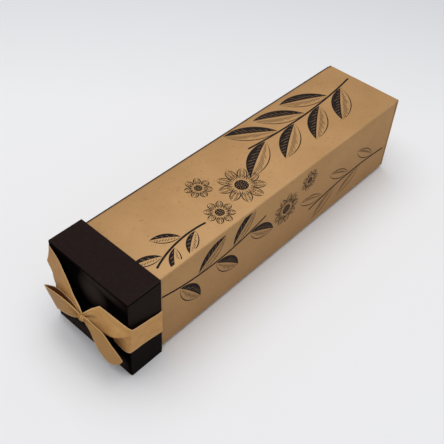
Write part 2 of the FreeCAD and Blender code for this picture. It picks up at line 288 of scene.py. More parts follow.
class Finish(NodeBench):
    """The nodes of one material, round one Principled shader."""

    def __init__(self, name: str) -> None:
        """Start a material.

        Args:
            name: Name of the material.
        """
        self.material = bpy.data.materials.new(name)
        self.material.use_nodes = True
        super().__init__(self.material.node_tree)
        self.shader = self.tree.nodes["Principled BSDF"]
        self.place = self.add("ShaderNodeTexCoord").outputs["Object"]

    def spot(self) -> Spot:
        """Number by number, where the shaded point is and where its surface faces."""
        normal = self.add("ShaderNodeNewGeometry").outputs["Normal"]
        return Spot(*self.parts(self.place), *self.parts(normal))

    def done(self, tone: object, roughness: float, gloss: Value | float) -> Material:
        """Join the base colour, roughness and specular level to the shader.

        Args:
            tone: Base colour.
            roughness: Roughness.
            gloss: Specular level.

        Returns:
            The finished material.
        """
        self.feed(self.shader.inputs["Base Color"], tone)
        self.feed(self.shader.inputs["Roughness"], roughness)
        self.feed(self.shader.inputs["Specular IOR Level"], gloss)
        return self.material

    def emboss(self, height: Value, strength: float, depth_mm: float) -> None:
        """Let a value stand out from the surface as a fine relief.

        Args:
            height: The value that stands out.
            strength: How strongly it shows, from 0 to 1.
            depth_mm: Depth of the relief.
        """
        bump = self.add("ShaderNodeBump", Height=height, Strength=strength,
                        Distance=depth_mm * MM)
        self.feed(self.shader.inputs["Normal"], bump.outputs["Normal"])


@dataclass(frozen=True)
class KraftBoard:
    """Brown kraft liner over fine flutes, with fibres, flecks and worn folds that also carry a
    painted highlight.

    The top has painted shade beside the glued seam and at the base end and a painted pool of light
    in a part at the right, and the upright panels have painted shade low down.
    """

    colour: tuple = (0.500, 0.286, 0.122, 1.0)
    dark: tuple = (0.425, 0.237, 0.096, 1.0)
    fleck: tuple = (0.24, 0.13, 0.055, 1.0)
    # paler tone of worn folds, also laid on as a painted highlight and a painted pool of light
    fold: tuple = (0.60, 0.37, 0.175, 1.0)
    shade: tuple = (0.10, 0.055, 0.022, 1.0)
    # tone of the painted shade beside the seam, at the base end and low on the upright panels
    painted_shade_tone: tuple = (0.25, 0.135, 0.055, 1.0)
    # near-black of the painted shadow line in the step of the glued seam
    shadow_line: tuple = (0.018, 0.010, 0.006, 1.0)
    fibre_share: float = 0.55
    fleck_share: float = 0.45
    wear_and_light_share: float = 0.55
    lit_share: float = 0.55
    seam_share: float = 0.26
    base_share: float = 0.28
    low_share: float = 0.40
    lit_x_mm: tuple = (-10, 36)
    lit_y_mm: tuple = (220, 40)
    seam_x_mm: tuple = (-10, -36)
    base_y_mm: tuple = (220, 330)
    low_z_mm: tuple = (66, 6)
    worn_mm: tuple = (2.4, 0.6)
    roughness: float = 0.82
    gloss: float = 0.2
    cloud_noise: tuple = (26.0, 4.0, 0.6)
    fibre_noise: tuple = (900.0, 5.0, 0.65)
    speck_noise: tuple = (620.0, 2.0)
    fibre_stretch: Triple = (1.0, 0.22, 1.0)
    speck_stretch: Triple = (1.0, 0.45, 1.0)
    relief: Pair = (0.22, 0.12)
    flute_mm: float = 2.4
    flute_reach_mm: float = 0.42

    def build(self) -> Material:
        """Make the material.

        Returns:
            The finished material.
        """
        finish = Finish("kraft_board")
        spot = finish.spot()
        cloud = finish.noise(finish.place, *self.cloud_noise)
        fibre = finish.noise(finish.stretch(finish.place, self.fibre_stretch),
                             *self.fibre_noise)
        speck = finish.noise(finish.stretch(finish.place, self.speck_stretch),
                             *self.speck_noise)
        # wear along the lengthwise folds, which also stands in for a painted highlight on the
        # creases
        worn = self.from_fold(spot).ramp_mm(*self.worn_mm) * cloud.ramp(0.2, 0.75)
        # painted pool of light on the top, in a part at the right near the lid
        lit = spot.x.ramp_mm(*self.lit_x_mm) * spot.y.ramp_mm(*self.lit_y_mm)
        lit = lit * (spot.facing_z > FACING)
        cut = (spot.facing_y < -0.9) * (spot.y < (CARTON_MOUTH_MM + 0.4) * MM)
        tone = finish.mix(cloud.ramp(0.3, 0.7), self.dark, self.colour)
        for share, colour in (
            (fibre.ramp(0.42, 0.68) * self.fibre_share, self.dark),
            (speck.ramp(0.62, 0.72) * self.fleck_share, self.fleck),
            (worn * self.wear_and_light_share, self.fold),
            # painted shade beside the seam, at the base end and low on the upright panels
            (self.painted_shade_share(spot), self.painted_shade_tone),
            (lit * self.lit_share, self.fold),
            # painted shadow line in the step of the glued seam
            (self.seam(spot), self.shadow_line),
            (cut * self.flutes(spot), self.shade),
        ):
            tone = finish.mix(share, tone, colour)
        wash = (self.across(spot) * (math.tau / (self.flute_mm * MM))).sine()
        finish.emboss(fibre * 0.7 + wash * 0.05, *self.relief)
        return finish.done(tone, self.roughness, self.gloss)

    def across(self, spot: Spot) -> Value:
        """Distance across a panel, which is X on the level panels and Z on the upright ones."""
        level = abs(spot.facing_z) > FACING
        return level * spot.x + (1.0 - level) * spot.z

    def from_fold(self, spot: Spot) -> Value:
        """Work out how far it is to the nearest lengthwise fold.

        Args:
            spot: The shaded point.

        Returns:
            The distance in metres.
        """
        middle = (CARTON_TOP_MM + CARTON_LOW_MM) / 2 * MM
        reach = (CARTON_TOP_MM - CARTON_LOW_MM) / 2 * MM
        side = HALF_CARTON_MM * MM - abs(spot.x)
        return side.larger(reach - abs(spot.z - middle))

    def painted_shade_share(self, spot: Spot) -> Value:
        """Paint shade on the board beside the seam, at the base end and low on the upright panels.

        Args:
            spot: The shaded point.

        Returns:
            Share of the painted shade tone.
        """
        level = abs(spot.facing_z) > FACING
        seam_side = spot.x.ramp_mm(*self.seam_x_mm) * self.seam_share
        base_end = spot.y.ramp_mm(*self.base_y_mm) * self.base_share
        lower = spot.z.ramp_mm(*self.low_z_mm) * self.low_share
        return level * seam_side.larger(base_end) + (1.0 - level) * lower

    def seam(self, spot: Spot) -> Value:
        """Painted shadow: the dark line in the step of the glued seam along the left edge of the
        top panel.
        """
        inner, outer = CARTON_BOARD_MM - HALF_CARTON_MM, 1.1 - HALF_CARTON_MM
        return (spot.facing_z > 0.2) * spot.x.ramp_mm(inner, outer)

    def flutes(self, spot: Spot) -> Value:
        """Draw the dark gaps of the fluting that show on the board's cut edge.

        Args:
            spot: The shaded point.

        Returns:
            Share of the dark tone.
        """
        wave, reach = math.tau / (self.flute_mm * MM), self.flute_reach_mm * MM
        top = spot.z - (CARTON_TOP_MM - CARTON_BOARD_MM / 2) * MM
        side = abs(spot.x) - (HALF_CARTON_MM - CARTON_BOARD_MM / 2) * MM
        level = abs(top - (spot.x * wave).sine() * reach)
        upright = abs(side - (spot.z * wave).sine() * reach)
        return level.smaller(upright).ramp_mm(0.08, 0.2)


@dataclass(frozen=True)
class BlackCard:
    """Black dyed card with a fine tooth, a little brown where it is folded.

    The end face is darkened with painted shade but for a painted reflection in a patch and paler
    bands by its upper and lower folds, and the sides have painted shade low down.
    """

    colour: tuple = (0.0150, 0.0088, 0.0078, 1.0)
    lint: tuple = (0.027, 0.0175, 0.0155, 1.0)
    # paler tone of worn folds, also used for the painted reflection on the end face
    worn: tuple = (0.032, 0.022, 0.018, 1.0)
    # near-black of the painted shade on the end face and low on the sides
    deep: tuple = (0.0016, 0.0011, 0.0011, 1.0)
    # near-black of the painted shadow line under the top panel's edge
    shadow_line: tuple = (0.0012, 0.001, 0.001, 1.0)
    wear_and_light_share: float = 0.6
    end_share: float = 0.95
    side_share: float = 0.7
    fold_share: float = 0.8
    low_z_mm: tuple = (70, 20)
    patch_mm: tuple = (5, 69)
    patch_reach_mm: tuple = (14, 15)
    upper_z_mm: tuple = (75, 80)
    lower_z_mm: tuple = (18, 10)
    roughness: float = 0.6
    gloss: float = 0.02
    fibre_noise: tuple = (1100.0, 4.0, 0.65)
    cloud_noise: tuple = (60.0, 3.0)
    fibre_stretch: Triple = (0.35, 1.0, 1.0)
    relief: Pair = (0.3, 0.08)

    def build(self) -> Material:
        """Make the material.

        Returns:
            The finished material.
        """
        finish = Finish("black_card")
        spot = finish.spot()
        fibre = finish.noise(finish.stretch(finish.place, self.fibre_stretch),
                             *self.fibre_noise)
        cloud = finish.noise(finish.place, *self.cloud_noise)
        worn = self.from_fold(spot).ramp_mm(0.9, 0.3) * cloud.ramp(0.42, 0.72)
        ending = spot.facing_y < -FACING
        siding = abs(spot.facing_x) > FACING
        # painted reflection on the end face in a patch, with paler bands by its upper and lower
        # folds
        painted_reflection = ending * self.pale(spot)
        # painted shade over the end face, except where the painted reflection lies, and low on the
        # sides
        end_shade = ending - painted_reflection
        side_shade = siding * spot.z.ramp_mm(*self.low_z_mm)
        # painted shadow line just under the top panel's edge, on the end and the sides
        shadow_under_top = spot.z.ramp_mm(83.4, 83.9) * spot.z.ramp_mm(85.6, 85.2)
        tone = finish.mix(fibre.ramp(0.5, 0.85), self.colour, self.lint)
        for share, colour in (
            (worn * self.wear_and_light_share, self.worn),
            (end_shade * self.end_share + side_shade * self.side_share, self.deep),
            (painted_reflection * self.wear_and_light_share, self.worn),
            (ending.larger(siding) * shadow_under_top, self.shadow_line),
        ):
            tone = finish.mix(share, tone, colour)
        finish.emboss(fibre, *self.relief)
        return finish.done(tone, self.roughness, (1.0 - end_shade) * self.gloss)

    def from_fold(self, spot: Spot) -> Value:
        """Work out how far it is to the nearest fold.

        Args:
            spot: The shaded point.

        Returns:
            The distance in metres.
        """
        half = LID_HEIGHT_MM / 2 * MM
        side = HALF_LID_MM * MM - abs(spot.x)
        level = half - abs(spot.z - half)
        end = spot.y - LID_END_MM * MM
        return side.larger(level).smaller(side.larger(end).smaller(level.larger(end)))

    def pale(self, spot: Spot) -> Value:
        """Find the paler card on the end face: a painted reflection in a patch, and paler bands by
        two folds.

        Args:
            spot: The shaded point.

        Returns:
            Share of the paler card.
        """
        across = (spot.x - self.patch_mm[0] * MM) / (self.patch_reach_mm[0] * MM)
        upward = (spot.z - self.patch_mm[1] * MM) / (self.patch_reach_mm[1] * MM)
        patch = ((across**2 + upward**2) ** 0.5).ramp(1.2, 0.3)
        upper = spot.z.ramp_mm(*self.upper_z_mm) * spot.x.ramp_mm(-8, 2) * spot.x.ramp_mm(46, 18)
        lower = spot.z.ramp_mm(*self.lower_z_mm) * spot.x.ramp_mm(42, 32)
        return patch.larger(upper.larger(lower) * self.fold_share)


@dataclass(frozen=True)
class Satin:
    """Gold-tan satin: fine lengthwise threads, a firm woven edge with a painted highlight, a soft
    sheen, a reverse side darkened with painted shade.

    Painted shade makes it deeper where it hangs far out, at the left and on the lid's right side,
    and painted shade and painted highlights mark the folds round the knot.
    """

    colour: tuple = (0.66, 0.366, 0.138, 1.0)
    deep: tuple = (0.54, 0.282, 0.097, 1.0)
    # tone of the painted shade where the ribbon hangs far out and on the lid's right side
    ribbon_shade: tuple = (0.41, 0.207, 0.054, 1.0)
    # light tone of the painted highlights on the woven edges and on the fold crests
    edge: tuple = (0.80, 0.54, 0.27, 1.0)
    # dark tone of the reverse side, mostly painted shade inside the loop
    reverse: tuple = (0.20, 0.060, 0.018, 1.0)
    # dark tone of painted shade, on the left and in the folds round the knot
    crease: tuple = (0.17, 0.075, 0.025, 1.0)
    sheen: tuple = (1.0, 0.74, 0.42, 1.0)
    warp_share: float = 0.35
    hanging_share: float = 0.8
    left_shade_share: float = 0.25
    right_share: float = 0.26
    reverse_and_shade_share: float = 0.8
    fold_shade_share: float = 0.6
    fold_highlight_share: float = 0.45
    selvage_and_highlight_share: float = 0.6
    hanging_y_mm: tuple = (LID_END_MM - 8.0, LID_END_MM - 9.2)
    left_x_mm: tuple = (-14, -30)
    right_x_mm: tuple = (42.0, 43.6)
    near_knot_mm: tuple = (17, 4)
    picks_per_cm: float = 90.0
    folds_across: float = 4.5
    roughness: float = 0.45
    gloss: float = 0.06
    thread_stretch: Triple = (150.0, 1.5, 1.0)
    slub_stretch: Triple = (6.0, 0.9, 1.0)
    sway_stretch: Triple = (2.0, 0.8, 1.0)
    sway: float = 9.0
    relief: Pair = (0.35, 0.12)

    def build(self) -> Material:
        """Make the material, which follows the ribbon's own UV map: U across it and V along it.

        Returns:
            The finished material.
        """
        finish = Finish("satin_ribbon")
        spot = finish.spot()
        flat = finish.add("ShaderNodeUVMap", {"uv_map": "ribbon"}).outputs["UV"]
        across, along, _ = finish.parts(flat)
        behind = across > 1.5
        warp = finish.noise(finish.stretch(flat, self.thread_stretch), 1.0, 2.0)
        weft = (along * (math.tau * self.picks_per_cm)).sine()
        slub = finish.noise(finish.stretch(flat, self.slub_stretch), 1.0, 3.0)
        knot = (KNOT_X_MM * MM, (LID_END_MM - KNOT_OFF_MM) * MM, KNOT_Z_MM * MM)
        near = finish.math("DISTANCE", finish.place, knot, "ShaderNodeVectorMath")
        near = near.ramp_mm(*self.near_knot_mm)
        sway = finish.noise(finish.stretch(flat, self.sway_stretch), 1.0, 2.0) * self.sway
        folds = (across * (math.tau * self.folds_across) + sway).sine()
        selvage = abs(across - behind * 2.0 - 0.5).ramp(0.455, 0.475)
        tone = finish.mix(slub.ramp(0.3, 0.7), self.deep, self.colour)
        for share, colour in (
            (warp.ramp(0.3, 0.7) * self.warp_share, self.colour),
            # painted shade on the loop and the tail, which hang far out
            (spot.y.ramp_mm(*self.hanging_y_mm) * self.hanging_share, self.ribbon_shade),
            # painted shade on the left part of the bow
            (spot.x.ramp_mm(*self.left_x_mm) * self.left_shade_share, self.crease),
            # painted shade on the band along the lid's right side
            (spot.x.ramp_mm(*self.right_x_mm) * self.right_share, self.ribbon_shade),
            # reverse side, darkened with painted shade where it faces into the loop
            (behind * self.reverse_and_shade_share, self.reverse),
            # painted shade in the folds round the knot
            (near * folds.ramp(0.55, 1.0) * self.fold_shade_share, self.crease),
            # painted highlights on the crests of those folds
            (near * folds.ramp(0.1, -0.7) * self.fold_highlight_share, self.edge),
            # woven edge, lightened with a painted highlight
            (selvage * self.selvage_and_highlight_share, self.edge),
        ):
            tone = finish.mix(share, tone, colour)
        finish.emboss(warp * 0.6 + weft * 0.08 + selvage * 0.8, *self.relief)
        finish.shader.inputs["Specular Tint"].default_value = self.sheen
        return finish.done(tone, self.roughness, self.gloss)


@dataclass(frozen=True)
class PrintInk:
    """Matt black ink, thin enough for the board's tooth to show through in places."""

    colour: tuple = (0.014, 0.010, 0.009, 1.0)
    thin: tuple = (0.07, 0.042, 0.024, 1.0)
    roughness: float = 0.7
    gloss: float = 0.06
    tooth_noise: tuple = (1500.0, 3.0, 0.6)
    patch_noise: tuple = (140.0, 2.0)
    relief: Pair = (0.2, 0.05)

    def build(self) -> Material:
        """Make the material.

        Returns:
            The finished material.
        """
        finish = Finish("print_ink")
        tooth = finish.noise(finish.place, *self.tooth_noise)
        patch = finish.noise(finish.place, *self.patch_noise)
        gaps = tooth.ramp(0.56, 0.70) * patch.ramp(0.35, 0.7)
        finish.emboss(tooth, *self.relief)
        return finish.done(finish.mix(gaps, self.colour, self.thin), self.roughness, self.gloss)


def link(name: str, data: ID) -> Object:
    """Make an object and put it into the scene.

    Args:
        name: Name of the object.
        data: Its mesh, lamp or camera.

    Returns:
        The new object.
    """
    made = bpy.data.objects.new(name, data)
    bpy.context.scene.collection.objects.link(made)
    return made


def smooth_line(points: list[Vector], steps: list[int], corners: set[int]) -> list[Vector]:
    """Draw a smooth line through points.

    Args:
        points: Places that the line goes through.
        steps: Number of steps in each span between two points.
        corners: Indexes of the points where the line turns sharply.

    Returns:
        The places along the line.
    """
    spans = [max((b - a).length, 1e-6) for a, b in zip(points, points[1:])]
    runs = [(b - a) / span for a, b, span in zip(points, points[1:], spans)]
    arriving, leaving = [runs[0]], [runs[0]]
    for k in range(1, len(runs)):
        even = (runs[k - 1] * spans[k] + runs[k] * spans[k - 1]) / (spans[k] + spans[k - 1])
        arriving.append(runs[k - 1] if k in corners else even)
        leaving.append(runs[k] if k in corners else even)
    arriving.append(runs[-1])
    found = []
    for k, count in enumerate(steps):
        for step in range(count):
            t = step / count
            ease = 3 * t**2 - 2 * t**3
            bend = leaving[k] * (t - 2 * t**2 + t**3) + arriving[k + 1] * (t**3 - t**2)
            found.append(points[k] * (1 - ease) + points[k + 1] * ease + bend * spans[k])
    return found + [points[-1]]


PARTS = 8
PARTS_BETWEEN = {2: (8,), 3: (2, 6), 4: (4, 2, 2)}


@dataclass(frozen=True)
class Row:
    """One row of places across the ribbon, in front of the lid's end, in millimetres.

    edges are (x, stand-off, z) from the ribbon's upper edge to its lower edge. The middle one of
    three is a soft crease. The middle two of four are the crease and the valley of a pleat that is
    folded under. gather is the depth of the small pleats near the knot, and corner says that the
    ribbon turns sharply at this row.
    """

    edges: tuple[Triple, ...]
    gather: float = 0.0
    corner: bool = False

    def line(self, columns: int) -> list[Vector]:
        """Work out the places across the ribbon.

        Args:
            columns: Number of columns across it.

        Returns:
            The places, one more than the columns.
        """
        marks = [Vector((x, LID_END_MM - off, z)) for x, off, z in self.edges]
        places, folds = [marks[0]], set()
        for start, end, count in zip(marks, marks[1:], PARTS_BETWEEN[len(marks)]):
            places += [start.lerp(end, step / count) for step in range(1, count + 1)]
            folds.add(len(places) - 1)
        gathered = PARTS // 2 if len(marks) == 4 else PARTS
        for index in range(gathered + 1):
            places[index] += Vector((0, self.gather * math.cos(math.pi * index), 0))
        return smooth_line(places, [columns // PARTS] * PARTS, folds)


@dataclass
class Cloth:
    """Points, faces and UV corners of a mesh in the making, in millimetres."""

    points: list[Vector] = field(default_factory=list)
    faces: list[tuple[int, ...]] = field(default_factory=list)
    flat: list[Pair] = field(default_factory=list)

    def face(self, corners: tuple[int, ...], flat: list[Pair]) -> None:
        """Add a face and the UV place of each of its corners."""
        self.faces.append(corners)
        self.flat += flat

    def piece(self, name: str) -> Object:
        """Make the mesh and its object.

        Args:
            name: Name of the piece.

        Returns:
            The finished piece.
        """
        mesh = bpy.data.meshes.new(name)
        mesh.from_pydata([point * MM for point in self.points], [], self.faces)
        layer = mesh.uv_layers.new(name="ribbon")
        for loop, place in zip(layer.data, self.flat):
            loop.uv = place
        mesh.shade_smooth()
        mesh.update()
        return link(name, mesh)


@dataclass
class RibbonBow:
    """One satin ribbon tied round the lid, with a half bow on the end panel."""

    width_mm: float = 25.0
    thickness_mm: float = 0.3
    clearance_mm: float = 0.35
    step_mm: float = 0.9
    columns: int = 32
    knot_size_mm: Triple = (3.3, 2.4, 3.0)
    knot_tilt: float = -14.0
    knot_crease: float = 0.09
    knot_around: int = 40
    knot_along: int = 28
    turn_steps: int = 8
    right: tuple[Row, ...] = (
        Row(((2.2, 9.4, 49.2), (2.6, 9.8, 44.8), (2.2, 8.8, 45.6), (2.4, 8.5, 44.2)), 0.5),
        Row(((4.4, 9.2, 52.2), (5.7, 10.1, 45.3), (5.0, 8.7, 45.8), (4.8, 8.3, 43.6)), 0.6),
        Row(((8.4, 6.0, 57.0), (11.3, 9.7, 44.1), (9.4, 7.8, 45.0), (8.6, 7.2, 42.0)), 0.4),
        Row(((13.4, 1.3, 60.8), (20.1, 9.5, 45.4), (15.8, 6.0, 43.8), (15.7, 5.2, 40.2)),
            0.15, True),
        Row(((22.0, 0.9, 60.9), (27.6, 8.7, 47.2), (21.8, 4.9, 44.1), (21.6, 3.6, 40.2))),
        Row(((28.0, 0.8, 61.1), (32.7, 7.9, 48.2), (27.3, 4.1, 43.0), (27.2, 3.2, 39.4))),
        Row(((32.0, 0.8, 61.3), (35.1, 7.1, 49.1), (30.5, 3.3, 42.2), (30.2, 3.4, 37.0))),
        Row(((36.2, 0.8, 61.5), (38.1, 5.2, 49.7), (34.9, 2.2, 44.4), (35.0, 3.3, 35.0))),
        Row(((40.6, 0.8, 61.8), (41.3, 3.4, 52.2), (39.4, 1.4, 47.6), (39.5, 2.8, 33.2))),
        Row(((43.8, 0.7, 62.0), (43.2, 1.5, 54.0), (42.4, 0.6, 50.8), (42.4, 2.0, 32.8))),
        Row(((45.7, 0.2, 62.0), (44.8, 0.4, 55.6), (44.2, 0.1, 52.0), (43.9, 1.0, 32.7))),
    )
    left: tuple[Row, ...] = (
        Row(((-36.0, 0.9, 80.0), (-43.9, 1.6, 60.6))),
        Row(((-29.8, 1.6, 76.0), (-39.8, 2.4, 57.0))),
        Row(((-23.6, 2.8, 69.9), (-37.2, 3.4, 49.4)), 0.05),
        Row(((-17.7, 4.0, 63.4), (-31.4, 4.8, 44.9)), 0.15),
        Row(((-10.6, 5.8, 55.4), (-20.6, 6.0, 43.6)), 0.35),
        Row(((-3.8, 7.4, 51.4), (-8.4, 7.4, 43.8)), 0.55),
        Row(((3.0, 9.6, 48.2), (1.8, 9.4, 45.0)), 0.35),
    )
    loop: tuple[Row, ...] = (
        Row(((2.6, 9.8, 47.6), (2.3, 9.6, 45.2)), 0.3),
        Row(((-2.4, 9.0, 47.4), (-3.5, 9.0, 39.6)), 0.45),
        Row(((-7.8, 8.2, 49.8), (-9.4, 8.4, 34.0)), 0.4),
        Row(((-16.6, 7.2, 49.8), (-18.6, 7.4, 28.2)), 0.15),
        Row(((-27.4, 6.2, 48.8), (-26.6, 6.6, 23.2))),
        Row(((-34.0, 5.8, 46.2), (-31.4, 6.2, 21.0))),
        Row(((-41.0, 5.8, 41.9), (-33.6, 6.2, 20.3))),
        Row(((-45.2, 6.4, 39.8), (-34.0, 6.6, 20.6))),
        Row(((-45.9, 7.4, 40.1), (-33.0, 7.4, 21.6))),
        Row(((-43.1, 8.5, 42.0), (-31.0, 8.2, 23.9))),
        Row(((-36.8, 9.5, 45.1), (-27.7, 8.5, 25.4))),
        Row(((-27.5, 10.6, 49.1), (-21.4, 9.0, 28.3)), 0.05),
        Row(((-15.5, 11.0, 51.1), (-14.1, 9.5, 31.8)), 0.25),
        Row(((-6.3, 10.9, 50.4), (-6.2, 10.2, 37.5)), 0.45),
        Row(((2.6, 10.6, 47.8), (2.2, 10.4, 45.0)), 0.35),
    )
    tail: tuple[Row, ...] = (
        Row(((3.4, 10.2, 47.4), (3.3, 10.4, 46.4), (2.8, 9.8, 44.4)), 0.3),
        Row(((8.7, 10.8, 50.6), (7.6, 11.0, 48.0), (6.0, 10.2, 42.4)), 0.4),
        Row(((17.4, 11.4, 51.6), (14.9, 11.8, 46.7), (10.5, 10.8, 38.8)), 0.25),
        Row(((27.7, 11.6, 51.5), (23.3, 12.1, 43.4), (15.1, 11.1, 30.7)), 0.1),
        Row(((36.6, 11.2, 44.0), (30.9, 11.6, 37.1), (19.3, 10.3, 20.2)), 0.04),
        Row(((42.6, 10.1, 36.7), (36.1, 10.4, 29.0), (23.8, 9.4, 14.4))),
        Row(((45.7, 9.4, 31.5), (39.3, 9.3, 23.0), (27.9, 8.5, 10.9))),
    )
    tail_round_mm: float = 1.5

    def make(self) -> Object:
        """Tie the whole ribbon.

        Returns:
            One object with the band, the loop, the tail and the knot.
        """
        right, left = self.lines(self.right), self.lines(self.left)
        turns = {index for index, row in enumerate(self.right) if row.corner}
        around = self.refine(right + self.band(right[-1]) + left, turns)
        tail = self.refine(self.lines(self.tail), set())
        self.round_off(tail)
        cloth = Cloth()
        for strip in (around, self.refine(self.lines(self.loop), set()), tail):
            self.weave(strip, cloth)
        self.wrap_knot(cloth)
        return cloth.piece("ribbon_bow")

    def lines(self, rows: tuple[Row, ...]) -> Rows:
        """Places across the ribbon at each row."""
        return [row.line(self.columns) for row in rows]

    def band(self, first: list[Vector]) -> Rows:
        """Lay the band from the right wall, over the rims and through the lid, to the left wall.

        Args:
            first: The row that the band carries on from, with its pleat.

        Returns:
            The rows of the band.
        """
        outside = HALF_LID_MM + self.clearance_mm
        inside = HALF_LID_MM - LID_BOARD_MM - self.clearance_mm
        back = LID_END_MM + LID_BOARD_MM + self.clearance_mm
        runs = [(b - a).length for a, b in zip(first, first[1:])]
        pleated = [sum(runs[:k]) / sum(runs) for k in range(self.columns + 1)]
        rows = []

        def lay(upper: tuple, lower: tuple, even: float = 1.0) -> None:
            """Add a row between the two edges.

            Args:
                upper: Place of the upper edge.
                lower: Place of the lower edge.
                even: 1 where the places are spread evenly, 0 where they are as in the first row.
            """
            start, end = Vector(upper), Vector(lower)
            shares = [even * k / self.columns + (1 - even) * share
                      for k, share in enumerate(pleated)]
            rows.append([start.lerp(end, share) for share in shares])

        lay((46.3, -15.6, 61.5), (44.2, -16.0, 32.6), 0.05)
        lay((46.2, -14.4, 60.9), (44.2, -14.4, 32.3), 0.12)
        lay((45.5, -5.6, 58.0), (43.8, -6.0, 30.9), 0.5)
        lay((44.6, 4.7, 55.0), (outside + 0.1, 4.4, 29.0))
        lay((44.0, 12.6, 52.6), (outside, 12.4, 27.2))
        self.turn_in(rows, 1, 39.2, 38.6)
        for x, y, z in (
            (inside, 4.0, 38.9), (inside, back + 3.0, 39.4), (inside - 0.9, back + 0.9, 39.6),
            (inside - 3.0, back, 39.8), (inside - 8.0, back, 41.0), (0.0, back, 48.4),
            (8.0 - inside, back, 55.8), (3.0 - inside, back, 56.8),
            (0.9 - inside, back + 0.9, 57.0), (-inside, back + 3.0, 57.4), (-inside, 4.0, 60.4),
        ):
            lay((x, y, z + self.width_mm / 2), (x, y, z - self.width_mm / 2))
        self.turn_in(rows, -1, 62.6, 63.4)
        lay((-outside, 8.0, 77.6), (-outside, 8.4, 52.6))
        lay((-outside, -4.0, 80.4), (-43.9, -3.4, 56.2))
        lay((-outside, -13.0, 82.0), (-45.4, -12.0, 59.6))
        lay((-42.3, -15.8, 82.4), (-46.4, -15.6, 62.4))
        lay((-40.0, -16.5, 82.0), (-45.9, -17.2, 63.4))
        return rows

    def turn_in(self, rows: Rows, side: int, start_z: float,
                end_z: float) -> None:
        """Add the rows that turn round the lid's rim.

        Args:
            rows: The rows so far.
            side: 1 on the right, where the ribbon goes in, and -1 on the left, where it comes out.
            start_z: Height of the ribbon's middle before the turn.
            end_z: Height of the ribbon's middle after the turn.
        """
        radius = LID_BOARD_MM / 2 + self.clearance_mm
        half = Vector((0, 0, self.width_mm / 2))
        for step in range(self.turn_steps + 1):
            share = step / self.turn_steps
            angle = math.pi * share
            x = HALF_LID_MM - LID_BOARD_MM / 2 + side * radius * math.cos(angle)
            y = LID_RIM_MM + radius * math.sin(angle)
            place = Vector((side * x, y, start_z + (end_z - start_z) * share))
            upper, lower = place + half, place - half
            rows.append([upper.lerp(lower, k / self.columns) for k in range(self.columns + 1)])

    def refine(self, rows: Rows, corners: set[int]) -> Rows:
        """Smooth the rows along the ribbon, in even steps.

        Args:
            rows: Places across the ribbon at each given row.
            corners: Indexes of the rows where the ribbon turns sharply.

        Returns:
            Many more rows.
        """
        middle = self.columns // 2
        steps = [max(1, round((a[middle] - b[middle]).length / self.step_mm))
                 for a, b in zip(rows, rows[1:])]
        lines = [smooth_line([row[k] for row in rows], steps, corners)
                 for k in range(self.columns + 1)]
        return [[line[k] for line in lines] for k in range(len(lines[0]))]

    def round_off(self, rows: Rows) -> None:
        """Bulge the tail's cut end, most towards its right corner, which is worn round.

        Args:
            rows: The rows of the tail, whose last three are changed.
        """
        last, before = rows[-1], rows[-4]
        for column, (place, start) in enumerate(zip(last, before)):
            share = column / self.columns
            reach = self.tail_round_mm * (1 - (1 - 2 * share) ** 2) - 0.8 * max(0.0, 1 - 8 * share)
            push = (place - start).normalized() * reach
            for back, part in enumerate((1.0, 0.7, 0.35)):
                rows[-1 - back][column] = rows[-1 - back][column] + push * part

    def weave(self, rows: Rows, cloth: Cloth) -> None:
        """Add a closed thin strip to the cloth.

        Args:
            rows: Places across the ribbon, row by row along it.
            cloth: The mesh in the making.
        """
        last, count, size = self.columns, len(rows), 2 * (self.columns + 1)
        base, travelled, shares = len(cloth.points), [0.0], []
        for a, b in zip(rows, rows[1:]):
            travelled.append(travelled[-1] + (b[last // 2] - a[last // 2]).length)
        for index, row in enumerate(rows):
            before, after = rows[max(index - 1, 0)], rows[min(index + 1, count - 1)]
            runs = [0.0]
            for a, b in zip(row, row[1:]):
                runs.append(runs[-1] + (b - a).length)
            shares.append([run / runs[-1] for run in runs])
            outer, inner = [], []
            for column, point in enumerate(row):
                across = row[min(column + 1, last)] - row[max(column - 1, 0)]
                normal = across.cross(after[column] - before[column]).normalized()
                shift = normal * self.thickness_mm / 2
                outer.append(point + shift)
                inner.append(point - shift)
            cloth.points += outer + inner[::-1]

        def uv(row: int, column: int) -> Pair:
            """Across as a share, and 2 more on the reverse side, and along in centimetres."""
            across = shares[row][column] if column <= last else shares[row][size - 1 - column] + 2
            return across, travelled[row] / 10

        for row in range(count - 1):
            for column in range(size):
                beside = (column + 1) % size
                a, b = base + row * size, base + (row + 1) * size
                cloth.face((a + column, a + beside, b + beside, b + column),
                           [uv(row, column), uv(row, beside),
                            uv(row + 1, beside), uv(row + 1, column)])
        for row, turn in ((0, -1), (count - 1, 1)):
            a = base + row * size
            for column in range(last):
                order = (column, column + 1, size - 2 - column, size - 1 - column)[::turn]
                cloth.face(tuple(a + c for c in order), [uv(row, c) for c in order])

